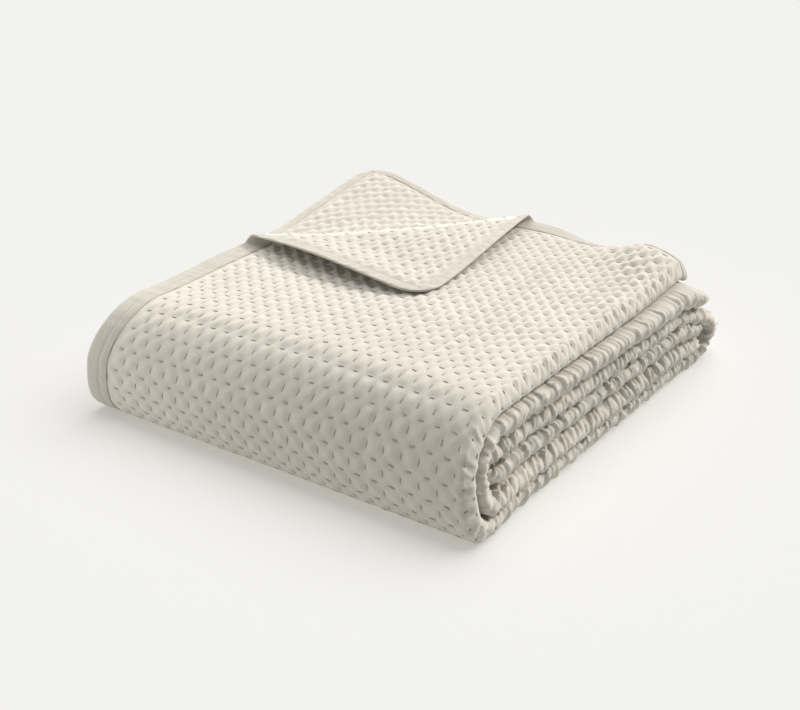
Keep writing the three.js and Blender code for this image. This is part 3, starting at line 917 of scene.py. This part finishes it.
# Stations along the four sides of the flat cloth, close where they show
corner_side = 260.0
across_marks = [
    (0.0, 2.0), (corner_side, 2.0), (side_fold_start, 2.0), (side_fold_end, 14.0),
    (left_fold["start"], 2.0), (left_fold_end, 14.0), (inner_fold["start"], 2.0),
    (last_sheet["start"], 14.0), (flat_width - bared, 2.5),
]
across_stations = spaced(across_marks, flat_width)
left_stations = spaced([(0.0, 2.0), (front_end, 8.0)], flat_length)
right_stations = spaced([(0.0, 2.5), (corner_side, 8.0)], flat_length)
sides = [
    ("start", across_stations[:-1]), ("right", right_stations[:-1]),
    ("end", (flat_width - across_stations[::-1])[:-1]),
    ("left", (flat_length - left_stations[::-1])[:-1]),
]


def edge_place(side, at, inward):
    """Flat place at a distance inward from one side of the cloth. Corners are shared."""
    length = flat_width if side in ("start", "end") else flat_length
    at = np.clip(at, inward, length - inward)
    inward = np.full_like(at, inward)
    if side == "start":
        return at, inward
    if side == "right":
        return flat_width - inward, at
    if side == "end":
        return flat_width - at, flat_length - inward
    return inward, flat_length - at


way_round = np.cumsum(np.concatenate([np.diff(at, append=at[-1] + 2.0) for _, at in sides]))
still = 0 * way_round
cross_puckers = wandering(way_round, still, 4.2, 2) + 0.6 * wandering(way_round, still, 9.0, 11)
seam_puckers = wandering(way_round, still, 3.4, 7)
lines_round = profile + inner_profile
ring_u, ring_s, ring_offset = [], [], []
for inward, height in lines_round:
    parts = [edge_place(side, at, inward) for side, at in sides]
    u_line, s_line = (np.concatenate(line) for line in zip(*parts))
    u_line, s_line = rounded_place(u_line, s_line, strip_out)
    ring_u.append(u_line)
    ring_s.append(s_line)
    width = strip_width if height > 0 else reverse_strip_width
    fullness = np.sin(np.pi * np.clip(inward / width, 0, 1)) ** 0.5
    pucker = (0.4 * cross_puckers + 0.2 * wandering(u_line, s_line, 5.5, 2)) * fullness
    if height < 0:
        pucker = pucker * reverse_pucker
    if seam_heights[0] < abs(height) < seam_heights[1]:
        pucker = pucker + seam_pucker * seam_puckers
    if abs(height) < inner_height:
        pucker = still
    ring_offset.append(height + pucker * np.sign(height))
ring_u, ring_s, ring_offset = (np.array(x) for x in (ring_u, ring_s, ring_offset))
lines, stations_round = ring_u.shape
numbers = np.arange(lines * stations_round).reshape(lines, stations_round)
next_line = np.roll(numbers, -1, 0)
binding_faces = np.stack(
    [numbers, np.roll(numbers, -1, 1), np.roll(next_line, -1, 1), next_line], -1,
).reshape(-1, 4)
ring_u, ring_s, ring_offset = ring_u.ravel(), ring_s.ravel(), ring_offset.ravel()
edge_binding = mesh_piece(
    "linen_binding", on_cloth(ring_u, ring_s, ring_offset), binding_faces,
    np.stack([ring_u, ring_s], -1),
)
# The binding's reverse is given a paler tone than its right side
reverse_binding_paler = 0.6
add_paleness(edge_binding, np.where(ring_offset < 0, reverse_binding_paler, least_pale))
plain_linen = linen_look("plain_linen", colour=(0.575, 0.537, 0.465), weave_depth=0.5, paleness_range=0.13)
edge_binding.data.materials.append(plain_linen)
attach(edge_binding, "root")
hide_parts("edge_binding")

# The hand stitches: short running stitches of linen thread, a shade darker than the cloth,
# sunk into the dimples that they pull. One grid's stitches lie across the cloth and the
# other's along it. On the side fold and on the turned corner's reverse they are shorter.
thread_radius = 0.85
flatness = 0.7
# Rings of a stitch: place along it, height, and share of the thread's radius
stitch_rings = [
    (-3.4, -0.9, 0.15), (-2.7, 0.0, 0.9), (-1.1, 0.25, 1.0),
    (1.1, 0.25, 1.0), (2.7, 0.0, 0.9), (3.4, -0.9, 0.15),
]
ring_sides = 5
lean_spread, length_spread = 0.09, 0.08
drawn_in, thinner_on_reverse = 0.65, 0.6
raised_on_reverse, sunk_along = 0.8, 0.25
corner_reach = 222.0
stitches_across = int(flat_width / stitch_pitch) + 1
stitches_along = int(flat_length / stitch_pitch) + 1
right_side, reverse_side = 1, -1

# Rows of place across, place along, which of the two grids, and side of the cloth
stitches = []
for grid in (0, 1):
    for i in range(stitches_across):
        for j in range(stitches_along):
            u = first_stitch_u + (i + 0.5 * grid) * stitch_pitch
            s = first_stitch_s + (j + 0.5 * grid) * stitch_pitch
            edge = min(u, flat_width - u, s, flat_length - s)
            on_side = side_fold_start - 12 < u < side_fold_end + 6 and s < front_shows
            on_top = u < side_fold_start and s < front_end
            on_corner = grid == 1 and s < corner_reach and u < corner_reach
            if edge > strip_width + 2.5 and (on_side or on_top):
                stitches.append((u, s, grid, right_side))
            if edge > reverse_strip_width + 3 and on_corner:
                stitches.append((u, s, grid, reverse_side))
stitch_u, stitch_s, stitch_grid, stitch_side = np.array(stitches, float).T
on_reverse = stitch_side < 0
lies_across = stitch_grid == 0
lean = rng.normal(0, lean_spread, len(stitches))
stretch = rng.normal(1.0, length_spread, len(stitches))
stretch *= np.where((stitch_u > side_fold_start - 4) | on_reverse, drawn_in, 1.0)
stitch_radius = thread_radius * np.where(on_reverse, thinner_on_reverse, 1.0)
sunk = np.where(on_reverse, -raised_on_reverse, sunk_along * (stitch_grid == 1))
stitch_height = np.where(
    on_reverse, puff_height(stitch_u, stitch_s, on_reverse=True), puff_height(stitch_u, stitch_s),
)
stitch_points = []
for at, lift, thick in stitch_rings:
    on = at * stretch
    for k in range(ring_sides):
        angle = 2 * math.pi * k / ring_sides
        off = stitch_radius * thick * math.cos(angle)
        du = np.where(lies_across, on, off) - np.where(lies_across, off, on) * lean * 0.5
        ds = np.where(lies_across, off, on) + np.where(lies_across, on, off) * lean
        thread_height = stitch_radius * flatness * thick * math.sin(angle)
        height = offset_at_stitches - sunk + stitch_height + lift + thread_height
        stitch_points.append(on_cloth(stitch_u + du, stitch_s + ds, height * stitch_side))
stitch_points = np.stack(stitch_points, 1)
per_stitch = len(stitch_rings) * ring_sides
stitch_faces = []
for first in range(0, len(stitches) * per_stitch, per_stitch):
    for ring in range(first, first + per_stitch - ring_sides, ring_sides):
        for k in range(ring_sides):
            a, b = ring + k, ring + (k + 1) % ring_sides
            stitch_faces.append((a, b, b + ring_sides, a + ring_sides))
    stitch_faces.append(tuple(range(first + ring_sides - 1, first - 1, -1)))
    stitch_faces.append(tuple(range(first + per_stitch - ring_sides, first + per_stitch)))
hand_stitches = mesh_piece("hand_stitches", stitch_points.reshape(-1, 3), stitch_faces)
thread, _, thread_shader = material("linen_thread", roughness=0.85, sheen=0.2)
thread_shader.inputs["Base Color"].default_value = (0.38, 0.35, 0.295, 1.0)
hand_stitches.data.materials.append(thread)
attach(hand_stitches, "root")

# The studio: a plain pale floor that runs into the backdrop, soft light from above, a
# window low on the left, a strong light from behind on the right, and weak fill from the
# front. A ceiling light falls on the floor only.
floor_mesh = bpy.data.meshes.new("floor")
reach = 9.0
floor_corners = [(-reach, -reach, 0), (reach, -reach, 0), (reach, reach, 0), (-reach, reach, 0)]
floor_mesh.from_pydata(floor_corners, [], [(0, 1, 2, 3)])
floor = placed("floor", floor_mesh)
floor_look, _, floor_shader = material("pale_floor", roughness=0.9, sheen=0.0)
floor_shader.inputs["Base Color"].default_value = (0.80, 0.793, 0.768, 1.0)
floor_shader.inputs["Emission Color"].default_value = (0.975, 0.965, 0.935, 1.0)
floor_shader.inputs["Emission Strength"].default_value = 0.28
floor_mesh.materials.append(floor_look)

world = bpy.data.worlds.new("studio")
bpy.context.scene.world = world
world.use_nodes = True
background = world.node_tree.nodes["Background"]
background.inputs["Color"].default_value = (0.97, 0.985, 1.0, 1.0)
background.inputs["Strength"].default_value = 0.24

# Rows of name, the way the light comes from, strength, softness in degrees, and colour.
# Those that model the cloth are kept off the plain floor, which has a softer one.
lamps = [
    ("soft_box", (-0.28, 0.26, 1.00), 1.40, 50, (1.0, 0.985, 0.96)),
    ("window_light", (-0.70, 0.60, 0.36), 1.15, 14, (1.0, 0.985, 0.96)),
    ("back_light", (0.42, 0.79, 0.64), 3.3, 14, (1.0, 0.99, 0.97)),
    ("fill_light", (-0.30, -0.50, 1.00), 0.18, 60, (1.0, 1.0, 1.0)),
    ("ceiling_light", (0.20, 0.40, 1.0), 1.87, 76, (1.0, 1.0, 1.0)),
]
for name, way, strength, softness, colour in lamps:
    lamp = bpy.data.lights.new(name, "SUN")
    lamp.energy = strength
    lamp.angle = math.radians(softness)
    lamp.color = colour
    holder = placed(name, lamp)
    tilt = math.atan2(math.hypot(way[0], way[1]), way[2])
    holder.rotation_euler = (tilt, 0, math.atan2(way[0], -way[1]))
    lit = bpy.data.collections.new(name + "_on")
    lit.objects.link(floor)
    link_state = "INCLUDE" if name == "ceiling_light" else "EXCLUDE"
    lit.collection_objects[0].light_linking.link_state = link_state
    holder.light_linking.receiver_collection = lit

# A white card on the left, before the stack, that lightens the front face towards it
card = bpy.data.lights.new("white_card", "AREA")
card.energy = 2.0
card.size = 0.4
card.color = (1.0, 0.99, 0.97)
card_place, card_aim = Vector((-0.62, -0.55, 0.22)), Vector((-0.1, -0.2, 0.07))
card_holder = placed("white_card", card)
card_holder.location = card_place
card_holder.light_linking.receiver_collection = bpy.data.collections["back_light_on"]
card_holder.rotation_euler = (card_aim - card_place).to_track_quat("-Z", "Y").to_euler()

# The camera stands where the photograph was taken from: from the front right, looking
# down and to the left
camera_place = (952.9, -803.9)
camera_height = 0.6201
camera_down, camera_left = 24.69, 35.62
camera_data = bpy.data.cameras.new("camera")
camera_data.sensor_width = 36.0
camera_data.lens = 61.5
camera_data.clip_end = 50
camera = placed("camera", camera_data)
camera_x, camera_y = ((at - middle) / 1000 for at, middle in zip(camera_place, stack_middle))
camera.location = (camera_x, camera_y, camera_height)
camera.rotation_euler = (math.radians(90 - camera_down), 0, math.radians(camera_left))
bpy.context.scene.camera = camera
bpy.context.scene.view_settings.view_transform = "Standard"
